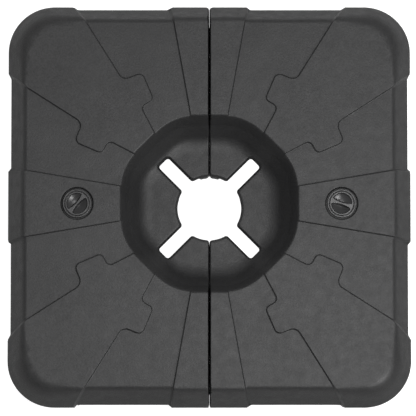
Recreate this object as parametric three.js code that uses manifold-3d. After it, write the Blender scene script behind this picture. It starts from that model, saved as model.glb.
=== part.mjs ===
// Two-piece fillable ballast base for a parasol that stands on a cross-shaped steel foot.
// Two identical hollow halves meet along a seam, each turned half a turn from the other.
// Each half has one screw cap with a gasket over its filler neck.
// Millimetres, +Z up. The origin is the centre of the mast hole, on the ground.

import * as THREE from 'three';
import { mergeVertices } from 'three/addons/utils/BufferGeometryUtils.js';
import Module from 'manifold-3d';

const wasm = await Module();
wasm.setup();

// ---- Driving dimensions ------------------------------------------------------------------

// The square outline: widest at the parting line of the mould, drafted below and above it.
const outerHalf = 390;
const outerRadius = 90;
const height = 135;
const partingHeight = 72;
const lowerDraft = 4;
const shoulderInset = 25;
const shoulderDrop = 6;
const shoulderRadius = 56;
const borderInset = 31;
const borderRadius = 50;
const wall = 3;
const seamGap = 3.5;

// Corner panels and arms stand proud of the eight sections between them.
const stepOut = 5.5;
const stepUp = 4.5;

// The edge of a corner panel, from the well outwards: distance from the arm's axis,
// distance along the arm, fillet radius. The second edge is the first one, shifted.
const panelEdge = [
  [84, 95, 0], [133, 188, 11], [108, 202, 9], [130, 253.5, 11], [167, 238.5, 16], [276, 409, 0],
];
const panelEdgeShift = [-10.5, 6];

// Arms widen outwards: half width where they leave the well, and growth per millimetre.
const seamArm = { halfWidth: 35.7, growth: 0.18 };
const capArm = { halfWidth: 33.5, growth: 0.167 };

// The well around the mast: a rounded octagon whose wall is parallel to its rim.
const wellApothem = 170;
const wellRadius = 106;
const wellFloor = 45;
const armStart = wellApothem - 40;
const wellProfile = [          // height, distance in from the rim
  [height + 1, 0], [height - 3, 2], [76, 21], [60, 27], [50, 34], [wellFloor, 45],
];

// The mast hole and its four diagonal slots.
const holeRadius = 63.5;
const slotHalfWidth = 13;
const slotReach = 127;
const slotCornerRadius = 5;

// Channels underneath, along the diagonals, for the arms of the steel foot.
const channelHalfWidth = 30;
const channelHeight = 30;

// Filler: a round recess in the cap arm, with a threaded neck below it.
const fillerDistance = 255;
const recessRadius = 31.5;
const recessFloor = 125;
const neckBottom = 106;
const clearance = 0.4;
const neckBore = 22.9;
const neckWall = 5.4;

// The cap and its gasket.
const shankRadius = neckBore - clearance;
const shankBottom = 110;
const threadPitch = 4;
const threadDepth = 2;
const threadStart = 112;
const threadTurns = 2.25;
const threadRootHalf = 1.15;
const threadCrestHalf = 0.5;
const threadLeadDegrees = 20;  // the neck's groove starts this much before the cap's ridge
const threadSink = 0.5;        // how far the ridge's root lies inside the wall that it is on
const flangeRadius = 27.5;
const flangeTop = 134.2;
const sealThickness = 2;
const fit = 0.3;
const capGroove = { inner: 23.6, outer: 25.2, depth: 1, taper: 0.4 };
const pocketRadius = 19.5;
const pocketFloor = 123.5;
const pocketBowl = [[16, 1], [18.7, 4]];   // radius, height over the pocket's floor
const ribWaist = 2.2;
const ribEnd = 5.5;
const rightRibAngle = -17;
const leftRibAngle = 48;

const roundSegments = 28;
const threadSegments = 20;
const squareSteps = 9;
const octagonSteps = 4;
const filletSteps = 3;
const margin = 20;             // how far sideways cutters and panels run past the body

// ---- Outlines ------------------------------------------------------------------------------

// Rounds the corners [x, y, radius] of a closed outline, with the same number of steps on each.
function rounded(corners, steps) {
  const outline = [];
  corners.forEach(([x, y, radius], i) => {
    const corner = new THREE.Vector2(x, y);
    if (radius === 0) {
      outline.push(corner);
      return;
    }
    const before = corners.at(i - 1);
    const after = corners[(i + 1) % corners.length];
    const toBefore = new THREE.Vector2(before[0] - x, before[1] - y).normalize();
    const toAfter = new THREE.Vector2(after[0] - x, after[1] - y).normalize();
    const halfAngle = toBefore.angleTo(toAfter) / 2;
    const bisector = toBefore.clone().add(toAfter).normalize();
    const centre = corner.clone().addScaledVector(bisector, radius / Math.sin(halfAngle));
    const tangent = radius / Math.tan(halfAngle);
    const start = corner.clone().addScaledVector(toBefore, tangent).sub(centre);
    const sweep = Math.sign(toBefore.cross(toAfter)) * (Math.PI - 2 * halfAngle);
    for (let step = 0; step <= steps; step += 1) {
      const turned = start.clone().rotateAround(new THREE.Vector2(), -sweep * step / steps);
      outline.push(turned.add(centre));
    }
  });
  return outline;
}

function roundedSquare(half, radius) {
  const corners = [[half, half], [-half, half], [-half, -half], [half, -half]];
  return rounded(corners.map(([x, y]) => [x, y, radius]), squareSteps);
}

function roundedOctagon(apothem, radius) {
  const reach = apothem / Math.cos(Math.PI / 8);
  const corners = [];
  for (let i = 0; i < 8; i += 1) {
    const angle = Math.PI / 8 + i * Math.PI / 4;
    corners.push([reach * Math.cos(angle), reach * Math.sin(angle), radius]);
  }
  return rounded(corners, octagonSteps);
}

// Moves every edge of an outline inwards, keeping its fillets parallel.
function insetCorners(corners, distance) {
  const points = corners.map(([x, y]) => new THREE.Vector2(x, y));
  const turn = Math.sign(THREE.ShapeUtils.area(points));
  return corners.map(([x, y, radius], i) => {
    const arriving = points[i].clone().sub(points.at(i - 1)).normalize();
    const leaving = points[(i + 1) % points.length].clone().sub(points[i]).normalize();
    const normal = new THREE.Vector2(-arriving.y - leaving.y, arriving.x + leaving.x);
    normal.multiplyScalar(turn).normalize();
    const inward = new THREE.Vector2(-arriving.y, arriving.x).multiplyScalar(turn);
    const reach = distance / normal.dot(inward);
    const convex = arriving.cross(leaving) * turn > 0;
    const newRadius = radius === 0 ? 0 : radius + (convex ? -distance : distance);
    return [x + normal.x * reach, y + normal.y * reach, newRadius];
  });
}

function cornerPanel(ySide) {
  const [shiftAcross, shiftAlong] = panelEdgeShift;
  const seamEdge = panelEdge.map(([across, along, radius]) => [across, along * ySide, radius]);
  const capEdge = panelEdge.map(([across, along, radius]) => (
    [along + shiftAlong, (across + shiftAcross) * ySide, radius]));
  const farCorner = [panelEdge.at(-1)[1], panelEdge.at(-1)[1] * ySide, 0];
  return [...seamEdge, farCorner, ...capEdge.reverse()];
}

function armHalfWidth(arm, along) {
  return arm.halfWidth + arm.growth * (along - wellApothem);
}

// The outline of an arm that runs this many quarter turns from the X axis.
function armCorners(arm, quarterTurns) {
  const far = outerHalf + margin;
  const nearHalf = armHalfWidth(arm, armStart);
  const farHalf = armHalfWidth(arm, far);
  const corners = [[armStart, -nearHalf], [far, -farHalf], [far, farHalf], [armStart, nearHalf]];
  const angle = quarterTurns * Math.PI / 2;
  return corners.map(([x, y]) => {
    const turned = new THREE.Vector2(x, y).rotateAround(new THREE.Vector2(), angle);
    return [turned.x, turned.y, 0];
  });
}

// ---- Solids --------------------------------------------------------------------------------

// Turns a closed geometry into a solid, with its faces pointing out.
function solid(geometry) {
  const bare = new THREE.BufferGeometry();
  bare.setAttribute('position', geometry.getAttribute('position').clone());
  bare.setIndex(geometry.index);
  const merged = mergeVertices(bare, 1e-4);
  const positions = merged.getAttribute('position').array;
  const source = merged.index.array;
  const triangles = [];
  let volume = 0;
  const [a, b, c] = [new THREE.Vector3(), new THREE.Vector3(), new THREE.Vector3()];
  for (let i = 0; i < source.length; i += 3) {
    const [p, q, r] = [source[i], source[i + 1], source[i + 2]];
    if (p === q || q === r || r === p) continue;
    triangles.push(p, q, r);
    a.fromArray(positions, 3 * p);
    b.fromArray(positions, 3 * q);
    c.fromArray(positions, 3 * r);
    volume += a.dot(b.cross(c));
  }
  if (volume < 0) triangles.reverse();
  return new wasm.Manifold(new wasm.Mesh({
    numProp: 3,
    vertProperties: Float32Array.from(positions),
    triVerts: Uint32Array.from(triangles),
  }));
}

// Skins a row of rings that hold the same number of points, and closes both ends.
function skin(rings, section) {
  const count = section.length;
  const index = [];
  for (let ring = 0; ring < rings.length - 1; ring += 1) {
    for (let i = 0; i < count; i += 1) {
      const [a, b] = [ring * count + i, ring * count + (i + 1) % count];
      index.push(a, b, b + count, a, b + count, a + count);
    }
  }
  const last = (rings.length - 1) * count;
  for (const [a, b, c] of THREE.ShapeUtils.triangulateShape(section, [])) {
    index.push(c, b, a, last + a, last + b, last + c);
  }
  const geometry = new THREE.BufferGeometry().setFromPoints(rings.flat());
  geometry.setIndex(index);
  return solid(geometry);
}

function loft(levels) {
  const rings = levels.map(([z, outline]) => outline.map((p) => new THREE.Vector3(p.x, p.y, z)));
  return skin(rings, levels[0][1]);
}

function prism(outline, bottom, top) {
  const shape = new THREE.Shape(outline);
  const geometry = new THREE.ExtrudeGeometry(shape, { depth: top - bottom, bevelEnabled: false });
  return solid(geometry.translate(0, 0, bottom));
}

function turnedSolid(profile, segments) {
  const points = profile.map(([radius, z]) => new THREE.Vector2(radius, z));
  return solid(new THREE.LatheGeometry(points, segments).rotateX(Math.PI / 2));
}

function cylinder(radius, bottom, top) {
  return turnedSolid([[0, bottom], [radius, bottom], [radius, top], [0, top]], roundSegments);
}

function box(width, depth, bottom, top) {
  const geometry = new THREE.BoxGeometry(width, depth, top - bottom);
  return solid(geometry.translate(0, 0, (bottom + top) / 2));
}

function union(solids) {
  return solids.reduce((whole, next) => whole.add(next));
}

// ---- The tank ------------------------------------------------------------------------------

// The body's outside, or its hollow when it is inset by the wall.
function bodySolid(half, top, inset) {
  return loft([
    [inset, roundedSquare(half - inset - lowerDraft, outerRadius - inset - lowerDraft)],
    [partingHeight, roundedSquare(half - inset, outerRadius - inset)],
    [top - inset - shoulderDrop, roundedSquare(half - inset - shoulderInset, shoulderRadius)],
    [top - inset, roundedSquare(half - inset - borderInset, borderRadius)],
  ]);
}

function panelSolids(inset) {
  const outlines = [
    cornerPanel(1), cornerPanel(-1),
    armCorners(capArm, 0), armCorners(seamArm, 1), armCorners(seamArm, -1),
  ];
  return union(outlines.map((corners) => (
    prism(rounded(insetCorners(corners, inset), filletSteps), -1, height + 1))));
}

// Sections and proud panels together.
function steppedBody(inset) {
  const sections = bodySolid(outerHalf - stepOut, height - stepUp, inset);
  const proud = bodySolid(outerHalf, height, inset).intersect(panelSolids(inset));
  return sections.add(proud);
}

function wellSolid(grow) {
  return loft(wellProfile.map(([z, inwards]) => [
    z === height + 1 ? z : z - grow,
    roundedOctagon(wellApothem - inwards + grow, wellRadius - inwards + grow),
  ]));
}

// The round hole, its diagonal slots and the diagonal channels under them.
function openingSolid(grow) {
  const bottom = -1;
  const slotCorners = [
    [0, slotHalfWidth + grow, 0], [0, -slotHalfWidth - grow, 0],
    [slotReach + grow, -slotHalfWidth - grow, slotCornerRadius + grow],
    [slotReach + grow, slotHalfWidth + grow, slotCornerRadius + grow],
  ];
  const cuts = [cylinder(holeRadius + grow, bottom, height)];
  for (let i = 0; i < 4; i += 1) {
    const degrees = 45 + 90 * i;
    const slot = prism(rounded(slotCorners, filletSteps), bottom, height);
    cuts.push(slot.rotate([0, 0, degrees]));
  }
  const channel = box(4 * outerHalf, 2 * (channelHalfWidth + grow), bottom, channelHeight + grow);
  cuts.push(channel.rotate([0, 0, 45]), channel.rotate([0, 0, -45]));
  return union(cuts);
}

function fillerOutside() {
  const shell = neckBore + neckWall;
  return cylinder(recessRadius + wall, recessFloor - wall, height + 1)
    .add(cylinder(shell, neckBottom, recessFloor))
    .translate([fillerDistance, 0, 0]);
}

function fillerInside() {
  const rise = recessFloor + threadPitch / 2 - threadStart;
  const turns = rise / threadPitch + threadLeadDegrees / 360;
  return cylinder(recessRadius, recessFloor, height + 1)
    .add(cylinder(neckBore, neckBottom - 1, recessFloor + 1))
    .add(threadSolid(neckBore - threadSink, clearance, -threadLeadDegrees, turns))
    .translate([fillerDistance, 0, 0]);
}

function tankSolid() {
  const side = box(outerHalf + margin, 3 * outerHalf, -1, height + 1);
  const reach = (outerHalf + margin) / 2;
  const outside = steppedBody(0)
    .subtract(wellSolid(0))
    .subtract(openingSolid(0))
    .intersect(side.translate([reach + seamGap / 2, 0, 0]));
  const hollow = steppedBody(wall)
    .subtract(wellSolid(wall))
    .subtract(openingSolid(wall))
    .subtract(fillerOutside())
    .intersect(side.translate([reach + seamGap / 2 + wall, 0, 0]));
  return outside.subtract(hollow).subtract(fillerInside());
}

// ---- The cap and its gasket ------------------------------------------------------------------

// A right-hand ridge around the cap's shank. Grown by the clearance, it cuts the neck's groove.
function threadSolid(rootRadius, grow, startDegrees, turns) {
  const crestRadius = shankRadius + threadDepth + grow;
  const [rootHalf, crestHalf] = [threadRootHalf + grow, threadCrestHalf + grow];
  const section = [
    new THREE.Vector2(rootRadius, -rootHalf), new THREE.Vector2(crestRadius, -crestHalf),
    new THREE.Vector2(crestRadius, crestHalf), new THREE.Vector2(rootRadius, rootHalf),
  ];
  const steps = Math.ceil(turns * threadSegments);
  const rings = [];
  for (let step = 0; step <= steps; step += 1) {
    const degrees = startDegrees + 360 * turns * step / steps;
    const angle = THREE.MathUtils.degToRad(degrees);
    const rise = threadStart + threadPitch * degrees / 360;
    rings.push(section.map((p) => (
      new THREE.Vector3(p.x * Math.cos(angle), p.x * Math.sin(angle), rise + p.y))));
  }
  return skin(rings, section);
}

function capSolid(ribAngle) {
  const flangeBottom = recessFloor + sealThickness + 2 * fit;
  const { inner, outer, depth, taper } = capGroove;
  const body = turnedSolid([
    [0, shankBottom], [shankRadius - 1, shankBottom], [shankRadius, shankBottom + 1],
    [shankRadius, flangeBottom], [flangeRadius, flangeBottom],
    [flangeRadius, flangeTop - 1.4], [flangeRadius - 1, flangeTop - 0.2],
    [outer, flangeTop], [outer - taper, flangeTop - depth],
    [inner + taper, flangeTop - depth], [inner, flangeTop],
    [0, flangeTop],
  ], roundSegments);
  const pocket = turnedSolid([
    [0, pocketFloor], ...pocketBowl.map(([radius, rise]) => [radius, pocketFloor + rise]),
    [pocketRadius, flangeTop + 1], [0, flangeTop + 1],
  ], roundSegments);
  const ribReach = pocketRadius + 2;
  const rib = prism([
    new THREE.Vector2(-ribReach, -ribEnd), new THREE.Vector2(0, -ribWaist),
    new THREE.Vector2(ribReach, -ribEnd), new THREE.Vector2(ribReach, ribEnd),
    new THREE.Vector2(0, ribWaist), new THREE.Vector2(-ribReach, ribEnd),
  ], shankBottom, height + 1);
  return body
    .subtract(pocket.subtract(rib.rotate([0, 0, ribAngle])))
    .add(threadSolid(shankRadius - threadSink, 0, 0, threadTurns));
}

function sealSolid() {
  const bottom = recessFloor + fit;
  const top = bottom + sealThickness;
  const inner = shankRadius + fit;
  const outer = flangeRadius - 0.5;
  return turnedSolid([
    [inner, bottom], [outer, bottom], [outer, top], [inner, top], [inner, bottom],
  ], roundSegments);
}

// ---- The assembly ----------------------------------------------------------------------------

const tankPlastic = new THREE.MeshStandardMaterial({
  color: 0x484848, roughness: 0.72, metalness: 0, flatShading: true,
});
const capPlastic = new THREE.MeshStandardMaterial({
  color: 0x333333, roughness: 0.38, metalness: 0, flatShading: true,
});
const sealRubber = new THREE.MeshStandardMaterial({
  color: 0x151515, roughness: 0.85, metalness: 0, flatShading: true,
});

function namedMesh(name, body, material) {
  const { vertProperties, triVerts } = body.getMesh();
  const geometry = new THREE.BufferGeometry();
  geometry.setAttribute('position', new THREE.BufferAttribute(Float32Array.from(vertProperties), 3));
  geometry.setIndex(new THREE.BufferAttribute(Uint32Array.from(triVerts), 1));
  const mesh = new THREE.Mesh(geometry, material);
  mesh.name = name;
  return mesh;
}

const tank = tankSolid();
const seal = sealSolid();

// One half, on the +X side of the seam.
function half(side, ribAngle) {
  const assembly = new THREE.Group();
  const filler = new THREE.Group();
  filler.position.x = fillerDistance;
  filler.add(
    namedMesh(`${side}_cap_seal`, seal, sealRubber),
    namedMesh(`${side}_filler_cap`, capSolid(ribAngle), capPlastic),
  );
  assembly.add(namedMesh(`${side}_tank`, tank, tankPlastic), filler);
  return assembly;
}

const parasolBase = new THREE.Group();
const rightHalf = half('right', rightRibAngle);
const leftHalf = half('left', leftRibAngle);
leftHalf.rotation.z = Math.PI;
parasolBase.add(leftHalf, rightHalf);

export default parasolBase;
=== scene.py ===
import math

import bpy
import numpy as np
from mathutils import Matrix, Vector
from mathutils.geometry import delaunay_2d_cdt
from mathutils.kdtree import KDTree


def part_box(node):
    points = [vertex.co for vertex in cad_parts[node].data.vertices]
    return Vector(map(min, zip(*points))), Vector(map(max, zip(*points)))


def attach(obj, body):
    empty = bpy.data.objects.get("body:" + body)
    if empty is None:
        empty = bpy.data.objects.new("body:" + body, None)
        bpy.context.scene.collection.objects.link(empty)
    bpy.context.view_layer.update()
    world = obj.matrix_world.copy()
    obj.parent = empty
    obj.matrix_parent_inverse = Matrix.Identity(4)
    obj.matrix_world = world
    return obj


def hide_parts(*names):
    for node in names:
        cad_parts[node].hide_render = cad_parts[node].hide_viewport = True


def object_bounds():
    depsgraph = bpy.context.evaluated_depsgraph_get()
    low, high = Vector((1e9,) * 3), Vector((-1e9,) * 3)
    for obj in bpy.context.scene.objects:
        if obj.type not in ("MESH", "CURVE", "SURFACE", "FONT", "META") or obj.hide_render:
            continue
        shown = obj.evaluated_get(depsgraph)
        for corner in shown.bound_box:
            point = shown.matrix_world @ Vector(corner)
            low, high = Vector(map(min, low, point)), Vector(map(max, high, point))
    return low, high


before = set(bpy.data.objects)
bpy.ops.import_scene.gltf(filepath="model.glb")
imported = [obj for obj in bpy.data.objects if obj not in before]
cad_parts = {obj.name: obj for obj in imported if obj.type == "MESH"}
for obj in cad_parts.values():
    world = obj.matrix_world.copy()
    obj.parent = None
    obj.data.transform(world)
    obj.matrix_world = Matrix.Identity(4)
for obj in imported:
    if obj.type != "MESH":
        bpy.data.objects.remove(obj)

# A two-piece fillable parasol base. Plan shapes are worked out in millimetres, in the CAD's frame,
# and made in metres. The seam runs along Y, and the filler caps lie on the X axis.
#
# Each tank half is one closed skin: an upper and a lower height field over the same plan, joined
# along the parting line of the mould, with a threaded neck let into the upper one. Every feature
# is a distance in plan, such as the distance to the rim of the well, and mesh rows follow it.

MM = 0.001
cad_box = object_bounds()
cap_low, cap_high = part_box("right_filler_cap")

# ---- Driving sizes, in millimetres ---------------------------------------------------------------

HALF = cad_box[1].x / MM                 # half the widest outline, at the parting line
HEIGHT = cad_box[1].z / MM
OUTER_RADIUS = 90
PARTING = 72
LOWER_DRAFT = 4                          # how far the lower wall leans in by the ground
LOWER_INNER_RADIUS = 2.5                 # round edges underneath, at the hole, slots and seam
LOWER_OUTER_RADIUS = 5
SHOULDER_SLOPE = 2.1                     # rise of the upper wall per millimetre inwards
SEAM_GAP = 0.6                           # where the halves come closest, at the parting line
EDGE_RADIUS = 2                          # round edges at the hole and the slots
SEAM_EDGE_RADIUS = 1.4
SEAM_LEAN = 1.6                          # how far the upper wall leans back at the seam
SEAM_EDGE_WIDTH = 2                      # that lean and that edge hold this far from the seam,
SEAM_EDGE_FADE = 5                       # and fade over this distance
WALL_LEAN = 0.01                         # lean of the steep walls, per millimetre of height
HOLE_LEAN = 0.34                         # and what the hole and the slots add to it, upwards
HOLE_LEAN_MARGIN = 12                    # that ends this far inside the well's rim,
HOLE_LEAN_FADE = 15                      # over this distance
LEAST_UPPER_WALL = 9                     # the parting line dips to leave this much above it

STEP_OUT = 5.5                           # panels and arms stand proud by this, sideways
STEP_UP = 4.5                            # and by this, upwards
STEP_SLOPE = 2.4                         # rise of a step's wall per millimetre
STEP_FOOT = 1.3                          # how far outside a panel's edge that wall starts
OUTLINE_STEP_FOOT = 2.6                  # the same for the step in the outline
OUTLINE_STEP_WIDTH = 4

# One edge of a corner panel, from the well outwards: distance from the arm's axis, distance
# along the arm, fillet radius. The edge beside the cap's arm is the same, shifted. Each has its
# own outer end, and the one beside the cap's arm bends away over the shoulder.
PANEL_EDGE = [(84, 95, 0), (133, 188, 11), (108, 202, 9), (130, 253.5, 11), (167, 238.5, 16)]
SEAM_EDGE_END = [(274, 409, 0)]
CAP_EDGE_END = [(225.2, 352, 20), (278.3, 415, 0)]
PANEL_SHIFT = (-10.5, 6)                 # the shift: away from the arm's axis, and along the arm
SEAM_ARM = (35.7, 0.18)                  # half width at the well, and its growth outwards
CAP_ARM = (33.5, 0.167)

WELL_APOTHEM = 171.3
WELL_RADIUS = 107
WELL_FLOOR = 45
WELL_FOOT = 41                           # how far in the wall would meet the floor
WELL_FILLET = 30
WELL_BEND = (15, 93)                     # the wall is steeper above this point of its section

HOLE_RADIUS = 61.8                       # at the parting line
SLOT_HALF_WIDTH = 13
SLOT_REACH = 127
SLOT_CORNER = 5
CHANNEL_HALF_WIDTH = 30
CHANNEL_HEIGHT = 30

# How softly two faces or two outlines run into each other.
HOLE_TO_SLOT_BLEND = 5
HOLE_TO_SEAM_BLEND = 6
SEAM_TO_OUTLINE_BLEND = 7
TOP_TO_WELL_BLEND = 7
TOP_TO_SHOULDER_BLEND = 11
CORNER_BLEND = 22                        # added to that round the corners,
CORNER_BLEND_START = 0.62                # from this share of the half width
CORNER_BLEND_WIDTH = 0.2                 # and over this share of it
STEP_FOOT_BLEND = 1.2
STEP_TOP_BLEND = 0.9

FILLER_X = (cap_low.x + cap_high.x) / 2 / MM
CAP_BOTTOM = cap_low.z / MM
CAP_TOP = cap_high.z / MM
CAP_RADIUS = (cap_high.x - cap_low.x) / 2 / MM
RECESS_RADIUS = 31.5
RECESS_FLOOR = 125
NECK_RING = 27
NECK_BORE = 22.9
CLEARANCE = 0.4
SHANK_RADIUS = NECK_BORE - CLEARANCE
THREAD_PITCH = 4
THREAD_DEPTH = 2
THREAD_START = 112
THREAD_ROOT_HALF = 1.15                  # half the ridge's thickness at its root
THREAD_CREST_HALF = 0.5
SEAL_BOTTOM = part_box("right_cap_seal")[0].z / MM
SEAL_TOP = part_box("right_cap_seal")[1].z / MM
RIB_ANGLES = {"right": -17, "left": 48}

# ---- Plan geometry -------------------------------------------------------------------------------


def smooth_min(a, b, k):
    mix = np.clip(0.5 + 0.5 * (b - a) / k, 0, 1)
    return b * (1 - mix) + a * mix - k * mix * (1 - mix)


def smooth_max(a, b, k):
    return -smooth_min(-a, -b, k)


def rounded(corners, closed=True, step=0.18):
    """Points along an outline whose corners (x, y, radius) are rounded."""
    points = []
    count = len(corners)
    for i, (x, y, radius) in enumerate(corners):
        if radius == 0 or (not closed and i in (0, count - 1)):
            points.append((x, y))
            continue
        corner = np.array((x, y), float)
        before = np.array(corners[i - 1][:2], float) - corner
        after = np.array(corners[(i + 1) % count][:2], float) - corner
        before /= np.hypot(*before)
        after /= np.hypot(*after)
        half_angle = math.acos(np.clip(before @ after, -1, 1)) / 2
        bisector = (before + after) / np.hypot(*(before + after))
        centre = corner + bisector * radius / math.sin(half_angle)
        start = corner + before * radius / math.tan(half_angle) - centre
        turn = before[0] * after[1] - before[1] * after[0]
        sweep = -math.copysign(math.pi - 2 * half_angle, turn)
        steps = max(2, math.ceil(abs(sweep) / step))
        for angle in np.linspace(0, sweep, steps + 1):
            c, s = math.cos(angle), math.sin(angle)
            points.append((centre[0] + c * start[0] - s * start[1],
                           centre[1] + s * start[0] + c * start[1]))
    return np.array(points)


def mirrored_panel():
    """The corner panel of the first quadrant."""
    across, along = PANEL_SHIFT
    seam_edge = PANEL_EDGE + SEAM_EDGE_END
    cap_edge = [(v + along, u + across, r) for u, v, r in PANEL_EDGE]
    cap_edge += [(v, u, r) for u, v, r in CAP_EDGE_END]
    far = SEAM_EDGE_END[0][1]
    return rounded(seam_edge + [(far, far, 0)] + cap_edge[::-1])


PANEL = mirrored_panel()


def inside_distance(x, y, outline):
    """Distance to a closed outline, positive inside it."""
    best = np.full(x.shape, 1e9)
    inside = np.zeros(x.shape, bool)
    for (ax, ay), (bx, by) in zip(outline, np.roll(outline, -1, axis=0)):
        ex, ey = bx - ax, by - ay
        px, py = x - ax, y - ay
        t = np.clip((px * ex + py * ey) / max(ex * ex + ey * ey, 1e-12), 0, 1)
        best = np.minimum(best, np.hypot(px - t * ex, py - t * ey))
        if ey:
            inside ^= ((ay > y) != (by > y)) & (px < py * ex / ey)
    return np.where(inside, best, -best)


def square_distance(x, y, half, radius):
    """Distance inwards from a square with round corners."""
    qx, qy = np.abs(x) - (half - radius), np.abs(y) - (half - radius)
    outside = np.hypot(np.maximum(qx, 0), np.maximum(qy, 0))
    return radius - outside - np.minimum(np.maximum(qx, qy), 0)


def panel_distance_exact(u, v):
    """Distance inwards from the edge of the nearest corner panel or arm, in the first quadrant."""
    corner = inside_distance(u, v, PANEL)
    seam_arm = (SEAM_ARM[0] + SEAM_ARM[1] * (v - WELL_APOTHEM) - u) / math.hypot(1, SEAM_ARM[1])
    cap_arm = (CAP_ARM[0] + CAP_ARM[1] * (u - WELL_APOTHEM) - v) / math.hypot(1, CAP_ARM[1])
    return np.maximum(corner, np.maximum(seam_arm, cap_arm))


GRID_STEP = 0.8
GRID_COUNT = int((HALF + 12) / GRID_STEP)
PANEL_GRID = panel_distance_exact(*np.meshgrid(np.arange(GRID_COUNT) * GRID_STEP,
                                               np.arange(GRID_COUNT) * GRID_STEP, indexing="ij"))


def panel_distance(x, y):
    """The same distance, anywhere, read off a fine grid."""
    u = np.clip(np.abs(x) / GRID_STEP, 0, GRID_COUNT - 1.001)
    v = np.clip(np.abs(y) / GRID_STEP, 0, GRID_COUNT - 1.001)
    i, j = u.astype(int), v.astype(int)
    u, v = u - i, v - j
    low = PANEL_GRID[i, j] * (1 - u) + PANEL_GRID[i + 1, j] * u
    high = PANEL_GRID[i, j + 1] * (1 - u) + PANEL_GRID[i + 1, j + 1] * u
    return low * (1 - v) + high * v


def well_distance(x, y):
    """Distance inwards from the rim of the well, a rounded octagon."""
    eighth = math.pi / 4
    angle = np.arctan2(y, x)
    angle = angle - eighth * np.round(angle / eighth)
    reach = np.hypot(x, y)
    u, v = reach * np.cos(angle), reach * np.sin(angle)
    apothem = WELL_APOTHEM - WELL_RADIUS
    du = u - apothem
    dv = np.maximum(np.abs(v) - apothem * math.tan(math.pi / 8), 0)
    return WELL_RADIUS - np.hypot(np.maximum(du, 0), dv) - np.minimum(du, 0)


def opening_distance(x, y):
    """Distance outwards from the mast hole, its slots and the seam."""
    hole = np.hypot(x, y) - HOLE_RADIUS
    u = (np.abs(x) + np.abs(y)) * math.sqrt(0.5) - SLOT_REACH + SLOT_CORNER
    v = np.abs(np.abs(x) - np.abs(y)) * math.sqrt(0.5) - SLOT_HALF_WIDTH + SLOT_CORNER
    slot = np.hypot(np.maximum(u, 0), np.maximum(v, 0)) + np.minimum(np.maximum(u, v), 0)
    cross = smooth_min(hole, slot - SLOT_CORNER, HOLE_TO_SLOT_BLEND)
    return smooth_min(cross, x - SEAM_GAP / 2, HOLE_TO_SEAM_BLEND)


def filler_distance(x, y):
    return np.hypot(x - FILLER_X, y)


def channel_distance(x, y):
    """Distance inwards from the edge of the nearest foot channel."""
    return CHANNEL_HALF_WIDTH - np.abs(np.abs(x) - np.abs(y)) * math.sqrt(0.5)


# ---- Cross sections ------------------------------------------------------------------------------

WELL_SECTION = rounded([(-12, HEIGHT + 34, 0), (*WELL_BEND, WELL_FILLET),
                        (WELL_FOOT, WELL_FLOOR, WELL_FILLET), (200, WELL_FLOOR, 0)], closed=False)
RECESS_SECTION = rounded([(0, RECESS_FLOOR, 0), (RECESS_RADIUS - 0.9, RECESS_FLOOR, 1.4),
                          (RECESS_RADIUS, HEIGHT, 1.5), (RECESS_RADIUS + 8, HEIGHT, 0)],
                         closed=False)
CHANNEL_SECTION = rounded([(-20, 0, 0), (0, 0, 2.5), (1.6, CHANNEL_HEIGHT, 4),
                           (60, CHANNEL_HEIGHT, 0)], closed=False)


def section_height(distance, section):
    return np.interp(distance, section[:, 0], section[:, 1])


def relief(x, y):
    """0 on a lower section and 1 on a proud panel, with a soft foot and a crisper top edge."""
    ramp = smooth_max(0, STEP_SLOPE * (panel_distance(x, y) + STEP_FOOT), STEP_FOOT_BLEND)
    return smooth_min(STEP_UP, ramp, STEP_TOP_BLEND) / STEP_UP


def outline_distance(x, y):
    """Distance inwards from the stepped outline at the parting line."""
    proud = np.clip((panel_distance(x, y) + OUTLINE_STEP_FOOT) / OUTLINE_STEP_WIDTH, 0, 1)
    return square_distance(x, y, HALF - STEP_OUT * (1 - proud), OUTER_RADIUS)


def edge_distance(x, y):
    """Distance inwards from the whole plan outline of the right half."""
    return smooth_min(opening_distance(x, y), outline_distance(x, y), SEAM_TO_OUTLINE_BLEND)


def open_top(x, y):
    """The top face with its relief and the well, before the edges are cut."""
    top = HEIGHT - STEP_UP * (1 - relief(x, y))
    well = section_height(well_distance(x, y), WELL_SECTION)
    return smooth_min(top, well, TOP_TO_WELL_BLEND)


def parting_height(x, y):
    """Height of the parting line, which dips where the half is thin."""
    return np.minimum(PARTING, open_top(x, y) - LEAST_UPPER_WALL)


def rounded_wall(distance, height, run, radius):
    """Rise of a drafted wall of this height, with a round edge at its top."""
    radius = np.minimum(radius, 0.8 * height)
    run = np.maximum(run, 1e-3)
    along = radius - (distance - run)
    arc = height - radius + np.sqrt(np.maximum(radius**2 - along**2, 0))
    wall = np.minimum(distance / run, 1) * (height - radius)
    return np.where(distance < run, wall, np.where(along > 0, arc, height))


def near_hole(x, y):
    """1 round the hole and its slots, and 0 from near the well's rim outwards."""
    return np.clip((WELL_APOTHEM - HOLE_LEAN_MARGIN - np.hypot(x, y)) / HOLE_LEAN_FADE, 0, 1)


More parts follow.
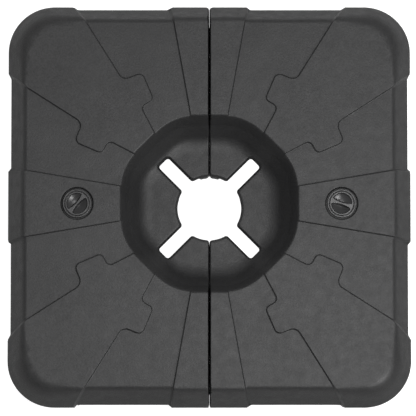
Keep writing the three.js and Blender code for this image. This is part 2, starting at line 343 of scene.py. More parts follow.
def upper_height(x, y):
    """Height of the skin above the parting line: top, shoulders, well, recess and upper walls."""
    shoulder = PARTING + SHOULDER_SLOPE * outline_distance(x, y)
    share = np.minimum(np.abs(x), np.abs(y)) / HALF
    corner = np.clip((share - CORNER_BLEND_START) / CORNER_BLEND_WIDTH, 0, 1)
    flat = smooth_min(open_top(x, y), shoulder, TOP_TO_SHOULDER_BLEND + CORNER_BLEND * corner)
    flat = np.minimum(flat, section_height(filler_distance(x, y), RECESS_SECTION))
    parting = parting_height(x, y)
    height = np.maximum(flat - parting, 0.01)
    from_seam = np.clip((x - SEAM_GAP / 2 - SEAM_EDGE_WIDTH) / SEAM_EDGE_FADE, 0, 1)
    radius = SEAM_EDGE_RADIUS + (EDGE_RADIUS - SEAM_EDGE_RADIUS) * from_seam
    lean = WALL_LEAN + HOLE_LEAN * near_hole(x, y) * from_seam
    run = SEAM_LEAN * (1 - from_seam) + lean * height
    return parting + rounded_wall(edge_distance(x, y), height, run, radius)


def lower_height(x, y):
    """Height of the skin below the parting line: lower walls, underside and foot channels."""
    flat = section_height(channel_distance(x, y), CHANNEL_SECTION)
    parting = parting_height(x, y)
    depth = np.maximum(parting - flat, 0.01)
    inner = rounded_wall(edge_distance(x, y), depth, 0.1 + WALL_LEAN * depth, LOWER_INNER_RADIUS)
    draft = LOWER_DRAFT * depth / PARTING
    outer = rounded_wall(outline_distance(x, y), depth, draft, LOWER_OUTER_RADIUS)
    return parting - np.minimum(inner, outer)


# ---- Meshing -------------------------------------------------------------------------------------


def resample(points, spacing, closed=False):
    """Points at an even spacing along a line."""
    if closed:
        points = np.vstack([points, points[:1]])
    lengths = np.hypot(*np.diff(points, axis=0).T)
    along = np.concatenate([[0], np.cumsum(lengths)])
    count = max(2, math.ceil(along[-1] / spacing))
    places = np.linspace(0, along[-1], count + 1)[:-1 if closed else None]
    return np.column_stack([np.interp(places, along, points[:, i]) for i in (0, 1)])


def settle(points, field, level):
    """Slides points along a field's slope to where it has the level, and drops those that miss."""
    step = 0.02
    points = points.copy()
    for _ in range(14):
        x, y = points.T
        miss = field(x, y) - level
        gx = (field(x + step, y) - field(x - step, y)) / (2 * step)
        gy = (field(x, y + step) - field(x, y - step)) / (2 * step)
        points -= (miss / np.maximum(gx**2 + gy**2, 0.3))[:, None] * np.column_stack([gx, gy])
    return points[np.abs(field(*points.T) - level) < 0.03]


def thinned(points, gap):
    """Drops points that follow their neighbour too closely."""
    kept = [points[0]]
    for point in points[1:]:
        if np.hypot(*(point - kept[-1])) >= gap:
            kept.append(point)
    if np.hypot(*(kept[0] - kept[-1])) < gap:
        kept.pop()
    return np.array(kept)


class Plan:
    """A plan region: closed loops that bound it, and points inside it."""

    def __init__(self, *loops):
        self.points = [p for loop in loops for p in loop]
        self.edges = []
        start = 0
        for loop in loops:
            self.edges += [(start + i, start + (i + 1) % len(loop)) for i in range(len(loop))]
            start += len(loop)

    def add(self, points, gap):
        """Adds the points that keep the gap to all that are there."""
        if not len(points):
            return
        tree = KDTree(len(self.points))
        for i, p in enumerate(self.points):
            tree.insert((p[0], p[1], 0), i)
        tree.balance()
        for p in thinned(points, gap):
            if tree.find((p[0], p[1], 0))[2] >= gap:
                self.points.append(p)

    def triangles(self, keep):
        """Points and counter-clockwise triangles, where keep is true of a triangle's centre."""
        vectors = [Vector(p) for p in self.points]
        placed, _, faces, *_ = delaunay_2d_cdt(vectors, self.edges, [], 1, 1e-7)
        placed = np.array([tuple(v) for v in placed])
        faces = np.array(faces)
        a, b, c = (placed[faces[:, i]] for i in range(3))
        turn = (b - a)[:, 0] * (c - a)[:, 1] - (b - a)[:, 1] * (c - a)[:, 0]
        faces[turn < 0] = faces[turn < 0][:, ::-1]
        centre = (a + b + c) / 3
        good = keep(*centre.T) & (np.abs(turn) > 1e-9)
        return placed, faces[good]


def slope_normals(field, x, y, upwards=True):
    step = 0.1
    gx = (field(x + step, y) - field(x - step, y)) / (2 * step)
    gy = (field(x, y + step) - field(x, y - step)) / (2 * step)
    normals = np.column_stack([-gx, -gy, np.ones_like(gx)])
    normals /= np.linalg.norm(normals, axis=1)[:, None]
    return normals if upwards else -normals


def plan_outline():
    """The right half's outline in plan, from the seam's far end, clockwise round to its start."""
    start = SEAM_GAP / 2
    square = rounded([(start, HALF, 4), (HALF, HALF, OUTER_RADIUS), (HALF, -HALF, OUTER_RADIUS),
                      (start, -HALF, 4)], step=0.05)
    square = square[np.argsort(-np.arctan2(square[:, 1], square[:, 0]), kind="stable")]
    shoulder = math.degrees(math.asin(SLOT_HALF_WIDTH / HOLE_RADIUS))
    seam = math.degrees(math.asin(start / HOLE_RADIUS))
    hole = []
    stops = [(-90 + seam, -45 - shoulder), (-45 + shoulder, 45 - shoulder), (45 + shoulder, 90 - seam)]
    for i, (first, last) in enumerate(stops):
        angles = np.radians(np.linspace(first, last, 40))
        hole += list(HOLE_RADIUS * np.column_stack([np.cos(angles), np.sin(angles)]))
        if i < 2:
            direction = np.array([1, -1 if i == 0 else 1]) * math.sqrt(0.5)
            normal = np.array([-direction[1], direction[0]])
            for side in (-1, 1):
                hole.append(direction * SLOT_REACH + normal * SLOT_HALF_WIDTH * side)
    return np.vstack([square, hole])


def traced_boundary():
    """The right half's outline with all its blends, closer spaced round the hole and slots."""
    fine = resample(plan_outline(), 2.2, closed=True)
    on_edge = settle(fine, edge_distance, 0)
    fine_parts = np.hypot(*on_edge.T) < SLOT_REACH + 15
    keep, last = [], None
    for point, fine_part in zip(on_edge, fine_parts):
        gap = 1.8 if fine_part else 3.2
        if last is None or np.hypot(*(point - last)) >= gap:
            keep.append(point)
            last = point
    return np.array(keep)


BOUNDARY = traced_boundary()
NECK_STEPS = 96


def ring(radius, count=NECK_STEPS, centre=(FILLER_X, 0)):
    angles = np.arange(count) * 2 * math.pi / count
    return np.column_stack([centre[0] + radius * np.cos(angles),
                            centre[1] + radius * np.sin(angles)])


def rows(plan, line, field, levels, gap, where):
    """Adds rows of points along a line, one row for each level of the field."""
    for level in levels:
        points = settle(line, field, level)
        plan.add(points[where(*points.T)], gap)


def filled(plan, spacing, gap):
    """A triangular grid in what is left."""
    count = int(HALF / spacing)
    grid = [((i + 0.5 * (j % 2)) * spacing, j * spacing * 0.866)
            for j in range(-int(count * 1.16), int(count * 1.16) + 1) for i in range(count + 1)]
    grid = np.array(grid)
    inside = edge_distance(*grid.T) > gap
    plan.add(grid[inside], gap)


def outer_boundary():
    """The boundary without the hole, the slots and most of the seam."""
    nearest = 330
    return BOUNDARY[np.hypot(*BOUNDARY.T) > nearest]


def in_half(x, y):
    return edge_distance(x, y) > -2


def upper_plan():
    """The mesh of the upper skin in plan, with close rows where the height bends."""
    plan = Plan(BOUNDARY, ring(NECK_RING))
    recess_radii = (28.2, 29.2, 29.8, 30.3, 30.7, 31.1, 31.6, 32.2, 33.0, 34.5, 38)
    for radius in recess_radii:
        plan.add(ring(radius), 0.25)
    inside = lambda x, y: (edge_distance(x, y) > 0.25) & (filler_distance(x, y) > 34)
    wall_levels = (0.3, 0.8, 1.7, 2.3, 3.0, 3.8, 4.8, 7.5)
    rows(plan, BOUNDARY, edge_distance, wall_levels, 0.25, inside)
    outside_well = lambda x, y: inside(x, y) & (well_distance(x, y) < 6)
    panel = resample(PANEL, 2.6, closed=True)
    panel = panel[square_distance(*panel.T, HALF + 4, OUTER_RADIUS) > 0]
    arm_ends = np.array([WELL_APOTHEM - 12, HALF])
    seam_edge = np.column_stack([SEAM_ARM[0] + SEAM_ARM[1] * (arm_ends - WELL_APOTHEM), arm_ends])
    cap_edge = np.column_stack([arm_ends, CAP_ARM[0] + CAP_ARM[1] * (arm_ends - WELL_APOTHEM)])
    lines = [panel, resample(seam_edge, 3.2), resample(cap_edge, 3.2)]
    step_levels = (0.1, -0.9, 0.7, -1.7, 1.3, -2.6, 2.2, -3.6, 4, -6)
    for line in lines:
        for side in (1, -1):
            rows(plan, line * (1, side), panel_distance, step_levels, 0.3, outside_well)
    rim = resample(ring(WELL_APOTHEM, 240, (0, 0)), 3.4, closed=True)
    rim = rim[rim[:, 0] > 0]
    well_levels = (0, 0.7, -0.7, 1.5, -1.6, 2.6, -3, 4.5, 8, 13, 18, 22, 25, 28, 31, 34.5, 38,
                   42, 46, 51)
    rows(plan, rim, well_distance, well_levels, 0.5, inside)
    shoulder_levels = (0.9, 2.4, 5, 9, 14, 19, 23, 25.5, 27.5, 29.5, 31.5, 34, 38)
    rows(plan, outer_boundary(), outline_distance, shoulder_levels, 0.7, inside)
    filled(plan, 12, 4)
    outside_neck = lambda x, y: in_half(x, y) & (filler_distance(x, y) > NECK_RING * 0.99)
    return plan.triangles(outside_neck)


def lower_plan():
    """The mesh of the lower skin in plan."""
    plan = Plan(BOUNDARY)
    inside = lambda x, y: edge_distance(x, y) > 0.25
    wall_levels = (0.3, 0.8, 1.7, 2.4, 3.2, 4.2, 7)
    rows(plan, BOUNDARY, edge_distance, wall_levels, 0.25, inside)
    outer_levels = (1, 2, 3, 3.8, 4.6, 5.6, 7, 9)
    rows(plan, outer_boundary(), outline_distance, outer_levels, 0.4, inside)
    channel_levels = (-2.4, -1, -0.3, 0.2, 0.8, 1.4, 2, 3, 4.6)
    reach = np.linspace(40, 560, 150)
    for side in (1, -1):
        for edge in (CHANNEL_HALF_WIDTH, -CHANNEL_HALF_WIDTH):
            line = np.column_stack([reach - edge, (reach + edge) * side]) * math.sqrt(0.5)
            line = line[inside(*line.T)]
            rows(plan, line, channel_distance, channel_levels, 0.3, inside)
    filled(plan, 16, 5)
    return plan.triangles(in_half)


def thread_wave(angle, z, grow):
    """How far a right-hand thread stands out, from 0 to 1, at an angle in radians."""
    phase = (z - THREAD_START) / THREAD_PITCH - angle / (2 * math.pi)
    away = np.abs(phase - np.round(phase)) * THREAD_PITCH
    root, crest = THREAD_ROOT_HALF + grow, THREAD_CREST_HALF + grow
    return np.clip((root - away) / (root - crest), 0, 1)


def threaded_rows(bottom, top, base_radius, depth, grow, fade_out):
    """Rings down a threaded wall, each a list of (x, y, z) round the origin."""
    angles = np.arange(NECK_STEPS) * 2 * math.pi / NECK_STEPS
    result = []
    for z in np.arange(top, bottom - 0.01, -0.35):
        strength = np.clip((z - bottom) / 1.5, 0, 1) * np.clip((top + fade_out - z) / 1.5, 0, 1)
        radius = base_radius + depth * strength * thread_wave(angles, z, grow)
        result.append(np.column_stack([radius * np.cos(angles), radius * np.sin(angles),
                                       np.full(NECK_STEPS, z)]))
    return result


def round_ring(radius, z):
    flat = ring(radius, centre=(0, 0))
    return np.column_stack([flat, np.full(len(flat), z)])


def neck_rings():
    """The threaded neck below the recess, ending in a round bottom."""
    rings = [round_ring(26.2, RECESS_FLOOR), round_ring(25.7, RECESS_FLOOR - 0.2),
             round_ring(25.3, RECESS_FLOOR - 0.8)]
    rings += threaded_rows(104, RECESS_FLOOR - 1.2, NECK_BORE, THREAD_DEPTH, CLEARANCE, 1.5)
    rings += [round_ring(NECK_BORE + 2, 102), round_ring(NECK_BORE + 6, 99)]
    rings += [round_ring(30 * math.cos(a), 92 - 22 * math.sin(a)) for a in np.radians([0, 25, 50, 75])]
    return rings


def stitched(first, rings, inwards):
    """Vertices and faces of rings that carry on from the ring of vertex numbers first."""
    count = len(first)
    base = max(first) + 1
    vertices, faces = [], []
    previous = list(first)
    for number, points in enumerate(rings):
        current = [base + number * count + i for i in range(count)]
        vertices += [tuple(p) for p in points]
        for i in range(count):
            j = (i + 1) % count
            quad = (previous[i], previous[j], current[j], current[i])
            faces.append(quad if inwards else quad[::-1])
        previous = current
    return vertices, faces, previous


def make_object(name, vertices, faces, sheet_normals):
    """A mesh piece. The corners of its first faces take the normals given."""
    mesh = bpy.data.meshes.new(name)
    mesh.from_pydata((np.asarray(vertices) * MM).tolist(), [], [tuple(map(int, f)) for f in faces])
    mesh.polygons.foreach_set("use_smooth", [True] * len(mesh.polygons))
    corners = np.empty(len(mesh.loops) * 3, np.float32)
    mesh.corner_normals.foreach_get("vector", corners)
    corners = corners.reshape(-1, 3)
    corners[:len(sheet_normals)] = sheet_normals
    mesh.normals_split_custom_set(corners.tolist())
    piece = bpy.data.objects.new(name, mesh)
    bpy.context.scene.collection.objects.link(piece)
    return piece


def tank_skin():
    """Vertices, faces and one normal for each corner of the upper and lower skins' faces, for the right
    half.
    """
    upper, upper_faces = upper_plan()
    lower, lower_faces = lower_plan()
    rim_count = len(BOUNDARY)
    x, y = upper.T
    upper_z = upper_height(x, y)
    upper_z[:rim_count] = parting_height(*BOUNDARY.T)
    neck_start = rim_count
    upper_z[neck_start:neck_start + NECK_STEPS] = RECESS_FLOOR
    lower_z = lower_height(*lower.T)
    vertices = [tuple(v) for v in np.column_stack([upper, upper_z])]
    offset = len(vertices) - rim_count
    vertices += [tuple(v) for v in np.column_stack([lower, lower_z])[rim_count:]]
    renumbered = np.where(lower_faces < rim_count, lower_faces, lower_faces + offset)
    faces = [tuple(f) for f in upper_faces] + [tuple(f) for f in renumbered[:, ::-1]]

    upper_normals = slope_normals(upper_height, x, y)
    lower_normals = slope_normals(lower_height, *lower.T, upwards=False)
    normals = [upper_normals[i] for face in upper_faces for i in face]
    normals += [lower_normals[i] for face in lower_faces[:, ::-1] for i in face]

    # The neck hangs from the ring of the recess floor, and its faces look at its axis.
    neck = [r + (FILLER_X, 0, 0) for r in neck_rings()]
    first = np.arange(neck_start, neck_start + NECK_STEPS)
    base = len(vertices)
    shift = base - (first[-1] + 1)
    neck_vertices, neck_faces, last = stitched(first, neck, inwards=True)
    neck_faces = [tuple(i if i <= first[-1] else i + shift for i in f) for f in neck_faces]
    vertices += neck_vertices
    faces += neck_faces
    faces.append(tuple(i + shift for i in last))
    return np.array(vertices), faces, np.array(normals)


# ---- Filler caps and their seals -----------------------------------------------------------------

POCKET_RADIUS = 20.3
POCKET_FLOOR = 123.5
POCKET_LIP = 2.4                         # depth of the bowl where it meets its edge
RIB_WAIST = 1.4                          # half width of the rib across the bowl
RIB_END = 5.2
POCKET_WALL_SLOPE = 3.5
POCKET_CORNER_BLEND = 3                  # in plan, where the rib meets the bowl's edge
POCKET_FOOT_BLEND = 1.6
POCKET_RIM_BLEND = 0.7
FLANGE_BOTTOM = 127.6
CAP_SHEET = 26.6                         # radius of the cap's top, inside its round edge
CAP_SECTION = rounded([(-1, CAP_TOP - 0.2, 0), (22.6, CAP_TOP - 0.2, 0.6), (23.3, CAP_TOP - 2.6, 0.5),
                       (24.3, CAP_TOP - 2.6, 0.5), (24.9, CAP_TOP, 0.5), (28, CAP_TOP, 0)],
                      closed=False)


def rib_half(along):
    """Half width of the rib, which widens towards its ends."""
    return RIB_WAIST + (RIB_END - RIB_WAIST) * (along / POCKET_RADIUS) ** 2


def pocket_distance(x, y, rib_angle):
    """Distance inwards from the edge of the nearer half of the bowl."""
    c, s = math.cos(math.radians(rib_angle)), math.sin(math.radians(rib_angle))
    along, across = x * c + y * s, y * c - x * s
    from_rib = np.abs(across) - rib_half(along)
    return smooth_min(POCKET_RADIUS - np.hypot(x, y), from_rib, POCKET_CORNER_BLEND)


def cap_height(x, y, rib_angle):
    """The top of a cap: a bowl with a rib across it, inside two rings with a groove between."""
    reach = np.hypot(x, y)
    lip = CAP_TOP - POCKET_LIP
    bowl = POCKET_FLOOR + (lip - POCKET_FLOOR) * (reach / POCKET_RADIUS) ** 2
    wall = CAP_TOP + 0.2 - POCKET_WALL_SLOPE * pocket_distance(x, y, rib_angle)
    pocket = smooth_max(bowl, wall, POCKET_FOOT_BLEND)
    return smooth_min(section_height(reach, CAP_SECTION), pocket, POCKET_RIM_BLEND)


def pocket_outline(side, rib_angle):
    """Points near the edge of one half of the bowl."""
    along = np.linspace(-19, 19, 90)
    arc = np.radians(np.linspace(12, 168, 140))
    x = np.concatenate([along, POCKET_RADIUS * np.cos(arc)])
    y = np.concatenate([rib_half(along), POCKET_RADIUS * np.sin(arc)]) * side
    c, s = math.cos(math.radians(rib_angle)), math.sin(math.radians(rib_angle))
    return np.column_stack([x * c - y * s, x * s + y * c])


def cap_skin(rib_angle):
    """Vertices, faces and top normals of a cap round the origin."""
    plan = Plan(ring(CAP_SHEET, centre=(0, 0)))
    ring_radii = (26.0, 25.4, 25.1, 24.9, 24.7, 24.5, 24.2, 23.8, 23.4, 23.2, 23.0, 22.8, 22.5, 22.1,
                  21.6, 21.2)
    for radius in ring_radii:
        plan.add(ring(radius, centre=(0, 0)), 0.15)
    edge = lambda x, y: pocket_distance(x, y, rib_angle)
    height = lambda x, y: cap_height(x, y, rib_angle)
    within = lambda x, y: np.hypot(x, y) < CAP_SHEET - 5.2
    pocket_levels = (0.1, -0.4, 0.5, -0.8, 0.9, 1.3, 1.7, 2.1, 2.5, 2.9, 3.4, 4.2)
    for side in (1, -1):
        rows(plan, pocket_outline(side, rib_angle), edge, pocket_levels, 0.3, within)
    spots = np.array([(i + 0.5 * (j % 2), j * 0.866) for i in range(-22, 22) for j in range(-25, 26)])
    plan.add(spots[within(*spots.T)], 0.6)
    sheet, faces = plan.triangles(lambda x, y: np.hypot(x, y) < CAP_SHEET)
    normals = slope_normals(height, *sheet.T)
    faces = [tuple(f) for f in faces]
    normals = [normals[i] for f in faces for i in f]
    top = height(*sheet.T)
    top[:NECK_STEPS] = CAP_TOP
    vertices = list(np.column_stack([sheet, top]))

    profile = [(27.05, CAP_TOP - 0.12), (27.35, CAP_TOP - 0.42), (CAP_RADIUS, CAP_TOP - 0.9),
               (CAP_RADIUS, FLANGE_BOTTOM + 0.7), (27.3, FLANGE_BOTTOM + 0.25),
               (26.9, FLANGE_BOTTOM), (23.3, FLANGE_BOTTOM), (22.7, FLANGE_BOTTOM - 0.3)]
    rings = [round_ring(radius, z) for radius, z in profile]
    rings += threaded_rows(CAP_BOTTOM + 1, FLANGE_BOTTOM - 0.8, SHANK_RADIUS, THREAD_DEPTH, 0, -1.5)
    rings += [round_ring(SHANK_RADIUS - 0.3, CAP_BOTTOM + 0.3), round_ring(SHANK_RADIUS - 1, CAP_BOTTOM)]
    rings += [round_ring(radius, CAP_BOTTOM) for radius in (18, 11, 4)]
    sides, side_faces, last = stitched(range(NECK_STEPS), rings, inwards=False)
    shift = len(vertices) - NECK_STEPS
    move = lambda i: i if i < NECK_STEPS else i + shift
    faces += [tuple(move(i) for i in f) for f in side_faces]
    faces.append(tuple(move(i) for i in last[::-1]))
    return np.array(vertices + [np.array(v) for v in sides]), faces, np.array(normals)


def seal_skin():
    """A flat ring with round edges, round the origin."""
    inner, outer, edge = 22.8, 27, 0.6
    section = rounded([(inner, SEAL_BOTTOM, edge), (outer, SEAL_BOTTOM, edge),
                       (outer, SEAL_TOP, edge), (inner, SEAL_TOP, edge)], step=0.4)
    count = len(section)
    vertices = [p for radius, z in section for p in round_ring(radius, z)]
    faces = []
    for i in range(count):
        for j in range(NECK_STEPS):
            k = (j + 1) % NECK_STEPS
            after = (i + 1) % count
            faces.append((i * NECK_STEPS + j, i * NECK_STEPS + k, after * NECK_STEPS + k,
                          after * NECK_STEPS + j))
    return np.array(vertices), faces, np.empty((0, 3))


# ---- Materials -----------------------------------------------------------------------------------


class Surface:
    """A moulded surface: a shader whose colour, roughness and bump come from noise."""

    def __init__(self, name, roughness, specular):
        self.material = bpy.data.materials.new(name)
        self.material.use_nodes = True
        self.tree = self.material.node_tree
        self.shader = self.tree.nodes["Principled BSDF"]
        self.shader.inputs["Roughness"].default_value = roughness
        self.shader.inputs["Specular IOR Level"].default_value = specular
        self.place = self.tree.nodes.new("ShaderNodeTexCoord").outputs["Object"]

    def link(self, source, target):
        self.tree.links.new(source, target)

    def noise(self, scale, detail=3, rough=0.5, stretch=None):
        node = self.tree.nodes.new("ShaderNodeTexNoise")
        node.inputs["Scale"].default_value = scale
        node.inputs["Detail"].default_value = detail
        node.inputs["Roughness"].default_value = rough
        place = self.place
        if stretch:
            mapping = self.tree.nodes.new("ShaderNodeMapping")
            mapping.inputs["Scale"].default_value = stretch
            mapping.inputs["Rotation"].default_value = (0, 0, 0.6)
            self.link(place, mapping.inputs["Vector"])
            place = mapping.outputs["Vector"]
        self.link(place, node.inputs["Vector"])
        return node.outputs["Fac"]

    def maths(self, operation, first, second=None):
        node = self.tree.nodes.new("ShaderNodeMath")
        node.operation = operation
        for socket, value in zip(node.inputs, (first, second)):
            if isinstance(value, (int, float)):
                socket.default_value = value
            elif value is not None:
                self.link(value, socket)
        return node.outputs["Value"]

    def plan(self):
        """How far a point lies from the planes of symmetry."""
        node = self.tree.nodes.new("ShaderNodeSeparateXYZ")
        self.link(self.place, node.inputs["Vector"])
        return [self.maths("ABSOLUTE", node.outputs[axis]) for axis in "XY"]

    def spread(self, value, low, high, out_low, out_high):
        """Maps a value's range to another."""
        node = self.tree.nodes.new("ShaderNodeMapRange")
        for name, number in (("From Min", low), ("From Max", high), ("To Min", out_low),
                             ("To Max", out_high)):
            node.inputs[name].default_value = number
        self.link(value, node.inputs["Value"])
        return node.outputs["Result"]

    def blended(self, factor, first, second):
        node = self.tree.nodes.new("ShaderNodeMix")
        node.data_type = "RGBA"
        self.link(factor, node.inputs["Factor"])
        for socket, value in ((node.inputs["A"], first), (node.inputs["B"], second)):
            if isinstance(value, tuple):
                socket.default_value = (*value, 1)
            else:
                self.link(value, socket)
        return node.outputs["Result"]

    def bump(self, height, distance, before=None):
        node = self.tree.nodes.new("ShaderNodeBump")
        node.inputs["Distance"].default_value = distance
        self.link(height, node.inputs["Height"])
        if before:
            self.link(before, node.inputs["Normal"])
        self.link(node.outputs["Normal"], self.shader.inputs["Normal"])
        return node.outputs["Normal"]


def tank_plastic():
    """Dark grey blow-moulded polyethylene: a fine leather grain, faint flow marks and dust."""
    surface = Surface("tank_plastic", 0.5, 0.2)
    broad = surface.spread(surface.noise(9, 2), 0.3, 0.7, 0, 1)
    mottle = surface.spread(surface.noise(330, 2, 0.6), 0.3, 0.7, -0.55, 0.55)
    mixed = surface.maths("ADD", surface.maths("MULTIPLY", broad, 0.4), mottle)
    colour = surface.blended(surface.maths("ADD", mixed, 0.3), (0.0115, 0.0115, 0.0118),
                             (0.021, 0.021, 0.0214))
    specks = surface.spread(surface.noise(420, 2, 0.6), 0.58, 0.72, 0, 0.35)
    colour = surface.blended(specks, colour, (0.026, 0.026, 0.0265))
    scuffs = surface.spread(surface.noise(30, 4, 0.6, (1, 7, 1)), 0.62, 0.78, 0, 0.3)
    colour = surface.blended(scuffs, colour, (0.024, 0.024, 0.0245))
    surface.link(colour, surface.shader.inputs["Base Color"])
    surface.link(surface.spread(surface.noise(60, 3), 0.3, 0.7, 0.46, 0.56),
                 surface.shader.inputs["Roughness"])
    ripple = surface.bump(surface.noise(16, 2), 0.0012)
    grain = surface.bump(surface.noise(260, 2, 0.6), 0.0003, ripple)
    surface.bump(surface.noise(800, 3, 0.6), 0.00025, grain)
    return surface.material


def cap_plastic():
    """Injection-moulded plastic, darker and smoother than the tanks."""
    surface = Surface("cap_plastic", 0.36, 0.28)
    broad = surface.spread(surface.noise(40, 2), 0.3, 0.7, 0, 1)
    colour = surface.blended(broad, (0.016, 0.016, 0.0165), (0.020, 0.020, 0.0205))
    surface.link(colour, surface.shader.inputs["Base Color"])
    surface.link(surface.spread(surface.noise(300, 3), 0.3, 0.7, 0.32, 0.42),
                 surface.shader.inputs["Roughness"])
    surface.bump(surface.noise(1500, 2), 0.00006)
    return surface.material


def seal_rubber():
    surface = Surface("seal_rubber", 0.7, 0.3)
    broad = surface.spread(surface.noise(90, 3), 0.3, 0.7, 0, 1)
    surface.link(surface.blended(broad, (0.016, 0.016, 0.016), (0.024, 0.024, 0.024)),
                 surface.shader.inputs["Base Color"])
    surface.bump(surface.noise(1200, 2), 0.00008)
    return surface.material


# ---- The object's pieces -------------------------------------------------------------------------

TURNED = np.array((-1, -1, 1))           # half a turn about Z, from the right half to the left one


def add_piece(name, skin, material, body, node):
    piece = make_object(name, *skin)
    piece.data.materials.append(material)
    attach(piece, body)
    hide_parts(node)


def build_pieces():
    tank_material, cap_material, seal_material = tank_plastic(), cap_plastic(), seal_rubber()
    tank, seal = tank_skin(), seal_skin()
    for side, turn in (("right", np.ones(3)), ("left", TURNED)):
        vertices, faces, normals = tank
        skin = (vertices * turn, faces, normals * turn)
        add_piece(f"{side}_tank_skin", skin, tank_material, f"{side}_tank",
                  f"{side}_tank")
        vertices, faces, normals = cap_skin(RIB_ANGLES[side])
        skin = ((vertices + (FILLER_X, 0, 0)) * turn, faces, normals * turn)
        add_piece(f"{side}_cap_shell", skin, cap_material, f"{side}_cap",
                  f"{side}_filler_cap")
        vertices, faces, normals = seal
        skin = ((vertices + (FILLER_X, 0, 0)) * turn, faces, normals)
        add_piece(f"{side}_seal_ring", skin, seal_material, f"{side}_seal",
                  f"{side}_cap_seal")


build_pieces()

# ---- Floor, light and camera ---------------------------------------------------------------------

# The paper floor isn't plain. These masks on it are in metres, from the middle of the mast hole.
HOLE_MASK_REACH = 0.0665
SLOT_MASK_REACH = 0.145
SLOT_MASK_WIDTH = 0.032
OUTLINE_MASK_INSET = 0.03                # the outer mask starts this far inside the outline
HOLE_GLOW = 1.1
OUTER_GLOW = 0.8
MIRRORED_GLOW = 0.4

SKY_TILT = 0.55                          # how much the sky brightens towards the back
SKY_LOW = 0.32                           # strength where it is darkest, and brightest
SKY_HIGH = 1.04


def add_glow(surface):
    """Makes the paper give off light that only camera rays see, and returns the hole's mask.

    It glows beyond the outline and in a patch like the mast hole with its slots, where the base
    stands at rest, so both look white whatever the lamps do. Below the round hole, glossy rays see
    some of it too.
    """
    x, y = surface.plan()
    reach = surface.maths("SQRT", surface.maths("ADD", surface.maths("MULTIPLY", x, x),
                                                surface.maths("MULTIPLY", y, y)))
    off_diagonal = surface.maths("ABSOLUTE", surface.maths("SUBTRACT", x, y))
    along_slots = surface.maths("LESS_THAN", off_diagonal, SLOT_MASK_WIDTH)
    below_slots = surface.maths("MULTIPLY", along_slots,
                                surface.maths("LESS_THAN", reach, SLOT_MASK_REACH))
    below_bore = surface.maths("LESS_THAN", reach, HOLE_MASK_REACH)
    below_hole = surface.maths("MAXIMUM", below_slots, below_bore)
    outside = surface.maths("GREATER_THAN", surface.maths("MAXIMUM", x, y),
                            HALF * MM - OUTLINE_MASK_INSET)
    rays = surface.tree.nodes.new("ShaderNodeLightPath").outputs
    glow = surface.maths("ADD", surface.maths("MULTIPLY", below_hole, HOLE_GLOW),
                         surface.maths("MULTIPLY", outside, OUTER_GLOW))
    seen = surface.maths("MULTIPLY", glow, rays["Is Camera Ray"])
    mirrored = surface.maths("MULTIPLY", below_bore,
                             surface.maths("MULTIPLY", rays["Is Glossy Ray"], MIRRORED_GLOW))
    surface.shader.inputs["Emission Color"].default_value = (1, 1, 1, 1)
    surface.link(surface.maths("ADD", seen, mirrored), surface.shader.inputs["Emission Strength"])
    return below_hole


def build_floor():
    """A pale paper floor, a hair below the base. It glows in places and is dark below the hole."""
    half, drop = 6, -0.0006
    mesh = bpy.data.meshes.new("floor")
    mesh.from_pydata([(-half, -half, drop), (half, -half, drop), (half, half, drop),
                      (-half, half, drop)], [], [(0, 1, 2, 3)])
    floor = bpy.data.objects.new("floor", mesh)
    bpy.context.scene.collection.objects.link(floor)
    surface = Surface("floor_paper", 0.9, 0.1)
    tint = surface.spread(surface.noise(3, 2), 0.3, 0.7, 0, 1)
    paper = surface.blended(tint, (0.58, 0.58, 0.58), (0.6, 0.6, 0.6))
    dark_below_hole = (0.08, 0.08, 0.08)     # throws hardly any light onto the slots' walls
    paper = surface.blended(add_glow(surface), paper, dark_below_hole)
    surface.link(paper, surface.shader.inputs["Base Color"])
    mesh.materials.append(surface.material)


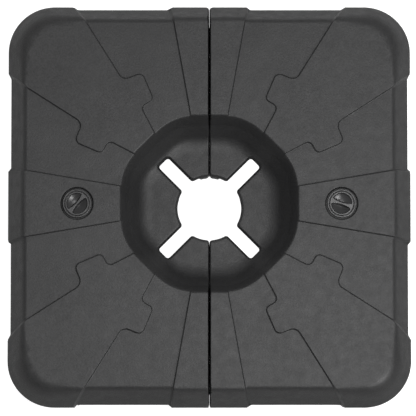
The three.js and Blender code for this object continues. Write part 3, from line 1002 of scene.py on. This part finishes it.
def build_world():
    """A white sky that is darker low down and in front."""
    world = bpy.data.worlds.new("studio")
    world.use_nodes = True
    tree = world.node_tree
    direction = tree.nodes.new("ShaderNodeTexCoord")
    parts = tree.nodes.new("ShaderNodeSeparateXYZ")
    tree.links.new(direction.outputs["Generated"], parts.inputs["Vector"])
    tilted = tree.nodes.new("ShaderNodeMath")
    tilted.operation = "MULTIPLY_ADD"
    tilted.inputs[1].default_value = SKY_TILT
    tree.links.new(parts.outputs["Y"], tilted.inputs[0])
    tree.links.new(parts.outputs["Z"], tilted.inputs[2])
    height = tree.nodes.new("ShaderNodeMapRange")
    height.inputs["To Min"].default_value = SKY_LOW
    height.inputs["To Max"].default_value = SKY_HIGH
    tree.links.new(tilted.outputs["Value"], height.inputs["Value"])
    tree.links.new(height.outputs["Result"], tree.nodes["Background"].inputs["Strength"])
    tree.nodes["Background"].inputs["Color"].default_value = (1, 1, 1, 1)
    bpy.context.scene.world = world
    bpy.context.scene.view_settings.view_transform = "Standard"


def add_light(name, place, size, power):
    """A soft square light that looks at the object."""
    light = bpy.data.lights.new(name, "AREA")
    light.size = size
    light.energy = power
    lamp = bpy.data.objects.new(name, light)
    lamp.location = place
    lamp.rotation_euler = (Vector((0, 0, 0.1)) - Vector(place)).to_track_quat("-Z", "Y").to_euler()
    bpy.context.scene.collection.objects.link(lamp)
    return lamp


def build_camera():
    """Nearly straight down, from the front, with a long lens."""
    distance, width, tilt = 10.0, 0.8062, math.radians(6.0)
    aim = Vector((-0.0026, -0.0026, 0.072))
    camera = bpy.data.cameras.new("camera")
    camera.sensor_width = 36
    camera.lens = camera.sensor_width * distance / width
    camera.clip_end = 100
    eye = bpy.data.objects.new("camera", camera)
    back = Vector((0, -math.sin(tilt), math.cos(tilt)))
    eye.location = aim + back * distance
    eye.rotation_euler = (tilt, 0, 0)
    bpy.context.scene.collection.objects.link(eye)
    bpy.context.scene.camera = eye


build_floor()
build_world()
add_light("key_light", place=(0.4, -0.2, 2.2), size=1.0, power=48)
glint = add_light("glint_light", place=(1.3, -1.3, 1.4), size=0.8, power=72)
glint.visible_diffuse = False            # it adds highlights and no diffuse light
build_camera()
